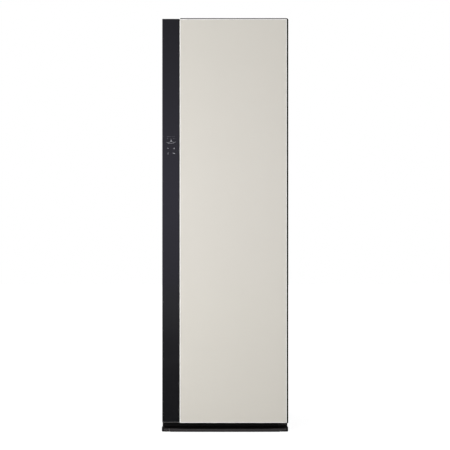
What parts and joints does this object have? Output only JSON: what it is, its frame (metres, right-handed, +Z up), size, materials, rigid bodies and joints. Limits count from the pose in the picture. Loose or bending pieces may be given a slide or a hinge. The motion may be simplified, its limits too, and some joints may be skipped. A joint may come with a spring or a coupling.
{
  "type": "clothes care steam cabinet",
  "caption": "Tall slim clothes care steam cabinet: full-height framed glass door with a recessed touch strip, oscillating hanger rail, door trouser press, water tanks and heat-pump base.",
  "frame": {"origin": "The centre of the footprint's bounding box, on the floor under the levelling feet.", "axes": "+Z up, -Y out of the door's front, +X to the right seen from the front, where the door's hinges are."},
  "size_m": [0.6, 0.596, 1.96],
  "materials": {
    "painted_steel": "satin dark brown-black paint",
    "black_plastic": "fine-grained black plastic",
    "grey_plastic": "satin grey plastic",
    "cabin_plastic": "satin light grey plastic",
    "lamp_plastic": "opal lens",
    "foam": "rigid foam",
    "gasket_rubber": "soft black rubber",
    "beige_glass": "back-painted warm beige glass",
    "smoked_glass": "gloss black smoked glass",
    "anodised": "dark anodised aluminium",
    "bright_steel": "brushed steel",
    "cast_aluminium": "bare aluminium",
    "compressor_shell": "black enamelled shell",
    "circuit_board": "green circuit board",
    "tank_plastic": "clear smoky plastic"
  },
  "bodies": {
    "cabinet": {"base_stand": "painted_steel", "base_pan": "painted_steel", "side_panel_left": "painted_steel", "side_panel_right": "painted_steel", "top_cover": "painted_steel", "rear_cover": "painted_steel", "front_bezel": "black_plastic", "insulation_shell": "foam", "liner_left": "cabin_plastic", "liner_right": "cabin_plastic", "liner_back": "cabin_plastic", "liner_ceiling": "cabin_plastic", "liner_floor": "cabin_plastic", "ceiling_lamp": "lamp_plastic", "steam_nozzle": "grey_plastic", "tank_bay": "black_plastic", "drive_frame": "bright_steel", "guide_rod_front": "bright_steel", "guide_rod_rear": "bright_steel", "drive_motor": "cast_aluminium", "control_box": "grey_plastic", "hinge_bracket_top": "bright_steel", "hinge_bracket_bottom": "painted_steel", "hinge_cover": "black_plastic", "duct_tray": "grey_plastic", "evaporator": "cast_aluminium", "condenser": "cast_aluminium", "fan_housing": "grey_plastic", "compressor": "compressor_shell", "steam_generator": "cast_aluminium", "water_pump": "black_plastic"},
    "door": {"door_core": "foam", "door_side_left": "black_plastic", "door_side_right": "anodised", "door_cap_top": "black_plastic", "door_cap_bottom": "black_plastic", "decor_frame": "anodised", "decor_glass": "beige_glass", "control_strip": "smoked_glass", "control_board": "circuit_board", "door_liner": "cabin_plastic", "door_wall_ring": "cabin_plastic", "door_gasket": "gasket_rubber", "press_board": "grey_plastic"},
    "press_cover_body": {"press_cover": "grey_plastic"},
    "trouser_hook_body": {"trouser_hook": "grey_plastic"},
    "hem_clip_body": {"hem_clip": "grey_plastic"},
    "supply_tank_body": {"supply_tank": "tank_plastic"},
    "drain_tank_body": {"drain_tank": "tank_plastic"},
    "shelf_body": {"shelf": "cabin_plastic"},
    "lint_filter_body": {"lint_filter": "grey_plastic"},
    "aroma_cartridge_body": {"aroma_cartridge": "grey_plastic"},
    "crank_body": {"crank": "bright_steel"},
    "hanger": {"hanger_carriage": "grey_plastic", "hanger_bar": "bright_steel"},
    "fan_wheel_body": {"fan_wheel": "black_plastic"},
    "foot_front_left": {"levelling_foot_front_left": "black_plastic"},
    "foot_front_right": {"levelling_foot_front_right": "black_plastic"},
    "foot_rear_left": {"levelling_foot_rear_left": "black_plastic"},
    "foot_rear_right": {"levelling_foot_rear_right": "black_plastic"}
  },
  "joints": [
    {"name": "door_hinge", "type": "hinge", "parent": "cabinet", "child": "door", "pos_m": [0.282, -0.2617, 0], "axis": [0, 0, 1], "range_deg": [0, 110]},
    {"name": "press_cover_hinge", "type": "hinge", "parent": "door", "child": "press_cover_body", "pos_m": [0.15, -0.2156, 0], "axis": [0, 0, -1], "range_deg": [0, 100]},
    {"name": "trouser_hook_hinge", "type": "hinge", "parent": "door", "child": "trouser_hook_body", "pos_m": [0, -0.2266, 1.664], "axis": [-1, 0, 0], "range_deg": [0, 90]},
    {"name": "hem_clip_slide", "type": "slide", "parent": "door", "child": "hem_clip_body", "axis": [0, 0, 1], "range_m": [-0.045, 0.105]},
    {"name": "supply_tank_slide", "type": "slide", "parent": "cabinet", "child": "supply_tank_body", "axis": [0, -1, 0], "range_m": [0, 0.03]},
    {"name": "drain_tank_slide", "type": "slide", "parent": "cabinet", "child": "drain_tank_body", "axis": [0, -1, 0], "range_m": [0, 0.03]},
    {"name": "shelf_lift", "type": "slide", "parent": "cabinet", "child": "shelf_body", "axis": [0, 0, 1], "range_m": [0, 0.08]},
    {"name": "lint_filter_lift", "type": "slide", "parent": "cabinet", "child": "lint_filter_body", "axis": [0, 0, 1], "range_m": [0, 0.15]},
    {"name": "aroma_cartridge_lift", "type": "slide", "parent": "cabinet", "child": "aroma_cartridge_body", "axis": [0, 0, 1], "range_m": [0, 0.06]},
    {"name": "crank_turn", "type": "hinge", "parent": "cabinet", "child": "crank_body", "pos_m": [0, 0, 1.85], "axis": [0, 0, 1], "range_deg": [-60, 60]},
    {"name": "hanger_slide", "type": "slide", "parent": "cabinet", "child": "hanger", "axis": [1, 0, 0], "range_m": [-0.022, 0.022]},
    {"name": "fan_spin", "type": "hinge", "parent": "cabinet", "child": "fan_wheel_body", "pos_m": [-0.173, 0.12, 0.2983], "axis": [1, 0, 0], "continuous": true},
    {"name": "foot_front_left_turn", "type": "hinge", "parent": "cabinet", "child": "foot_front_left", "pos_m": [-0.236, -0.198, 0], "axis": [0, 0, 1], "range_deg": [-180, 180]},
    {"name": "foot_front_right_turn", "type": "hinge", "parent": "cabinet", "child": "foot_front_right", "pos_m": [0.236, -0.198, 0], "axis": [0, 0, 1], "range_deg": [-180, 180]},
    {"name": "foot_rear_left_turn", "type": "hinge", "parent": "cabinet", "child": "foot_rear_left", "pos_m": [-0.236, 0.2525, 0], "axis": [0, 0, 1], "range_deg": [-180, 180]},
    {"name": "foot_rear_right_turn", "type": "hinge", "parent": "cabinet", "child": "foot_rear_right", "pos_m": [0.236, 0.2525, 0], "axis": [0, 0, 1], "range_deg": [-180, 180]}
  ],
  "couplings": [
    {"joint": "hanger_slide", "follows": "crank_turn", "m_per_rad": -0.02088}
  ]
}
